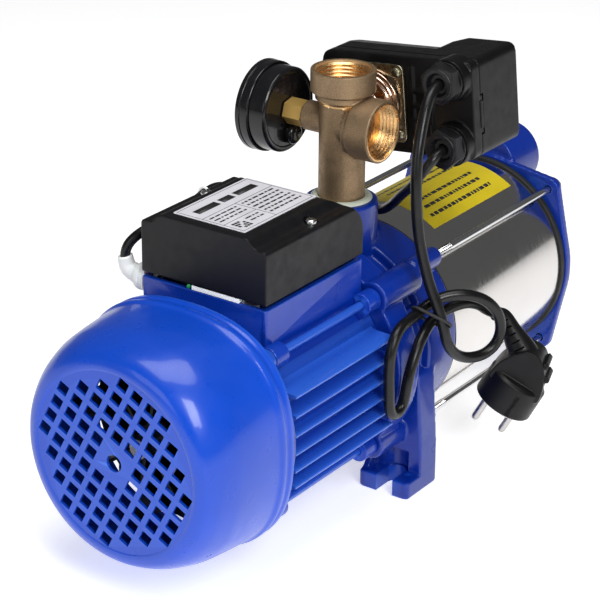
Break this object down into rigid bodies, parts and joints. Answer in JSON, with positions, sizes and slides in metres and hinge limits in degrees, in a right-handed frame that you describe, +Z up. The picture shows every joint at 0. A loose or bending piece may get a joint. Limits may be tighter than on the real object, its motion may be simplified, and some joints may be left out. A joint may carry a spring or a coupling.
{
  "type": "shallow well jet pump",
  "caption": "Blue motor and stainless pump barrel on one footed bracket, with a brass outlet fitting, pressure gauge, pressure switch and looped mains lead.",
  "frame": {"origin": "middle of the pump's box at the soles of its feet, on the plane of the shaft", "axes": "+X along the shaft from the fan cover to the suction port, +Z up, the side outlet towards -Y"},
  "size_m": [0.4268, 0.1982, 0.2665],
  "materials": {
    "blue_casting": "gloss",
    "blue_aluminium": "gloss",
    "blue_plastic": "gloss",
    "blue_bolt": "gloss",
    "stainless": "satin",
    "bright_steel": "gloss",
    "plain_steel": "satin",
    "zinc_plate": "satin",
    "brass_body": "satin",
    "copper_wire": "satin",
    "black_case": "satin",
    "black_rubber": "matte",
    "cable_sheath": "satin",
    "plug_rubber": "satin",
    "white_plastic": "satin",
    "seal_ceramic": "satin",
    "grey_plastic": "satin",
    "stamped_steel": "satin",
    "clear_lens": "gloss"
  },
  "bodies": {
    "root": {"barrel_gasket_far": "black_rubber", "barrel_gasket_near": "black_rubber", "bearing_front": "bright_steel", "bearing_rear": "bright_steel", "box_gland": "white_plastic", "bracket": "blue_casting", "brass_manifold": "brass_body", "diaphragm_dome": "bright_steel", "diffuser_1": "stamped_steel", "diffuser_2": "stamped_steel", "diffuser_3": "stamped_steel", "ejector_nozzle": "brass_body", "fan_cover": "blue_plastic", "flange_plate": "zinc_plate", "gauge_bezel": "black_case", "gauge_case": "black_case", "gauge_dial": "white_plastic", "gauge_lens": "clear_lens", "gauge_stem": "brass_body", "gauge_vent_plug": "black_rubber", "gland_nut_lower": "black_case", "gland_nut_upper": "black_case", "lid_screw_1": "bright_steel", "lid_screw_2": "bright_steel", "link_cable": "cable_sheath", "mains_lead": "cable_sheath", "motor_housing": "blue_aluminium", "plug_body": "plug_rubber", "plug_pin_1": "bright_steel", "plug_pin_2": "bright_steel", "pump_barrel": "stainless", "rear_shield": "blue_aluminium", "run_capacitor": "grey_plastic", "seal_seat": "seal_ceramic", "stator_core": "plain_steel", "stator_winding": "copper_wire", "suction_cover": "blue_casting", "switch_base": "black_case", "switch_cover": "black_case", "terminal_block": "white_plastic", "terminal_cover": "black_case", "through_bolt_1": "blue_bolt", "through_bolt_2": "blue_bolt", "through_bolt_3": "blue_bolt", "through_bolt_4": "blue_bolt", "tie_bolt_1": "bright_steel", "tie_bolt_2": "bright_steel", "tie_bolt_3": "bright_steel", "tie_bolt_4": "bright_steel", "venturi_tube": "grey_plastic"},
    "rotor": {"shaft": "plain_steel", "rotor_core": "plain_steel", "cooling_fan": "black_case", "seal_head": "black_rubber", "impeller_1": "stamped_steel", "impeller_2": "stamped_steel", "impeller_3": "stamped_steel", "impeller_nut": "plain_steel"},
    "pointer": {"gauge_pointer": "black_case"},
    "plunger": {"switch_plunger": "white_plastic"}
  },
  "joints": [
    {"name": "shaft_spin", "type": "hinge", "parent": "root", "child": "rotor", "pos_m": [0, 0, 0.0864], "axis": [1, 0, 0], "continuous": true},
    {"name": "pointer_turn", "type": "hinge", "parent": "root", "child": "pointer", "pos_m": [0.0067, 0.0517, 0.223], "axis": [0, -1, 0], "range_deg": [0, 270]},
    {"name": "plunger_travel", "type": "slide", "parent": "root", "child": "plunger", "axis": [1, 0, 0], "range_m": [0, 0.0015]}
  ]
}
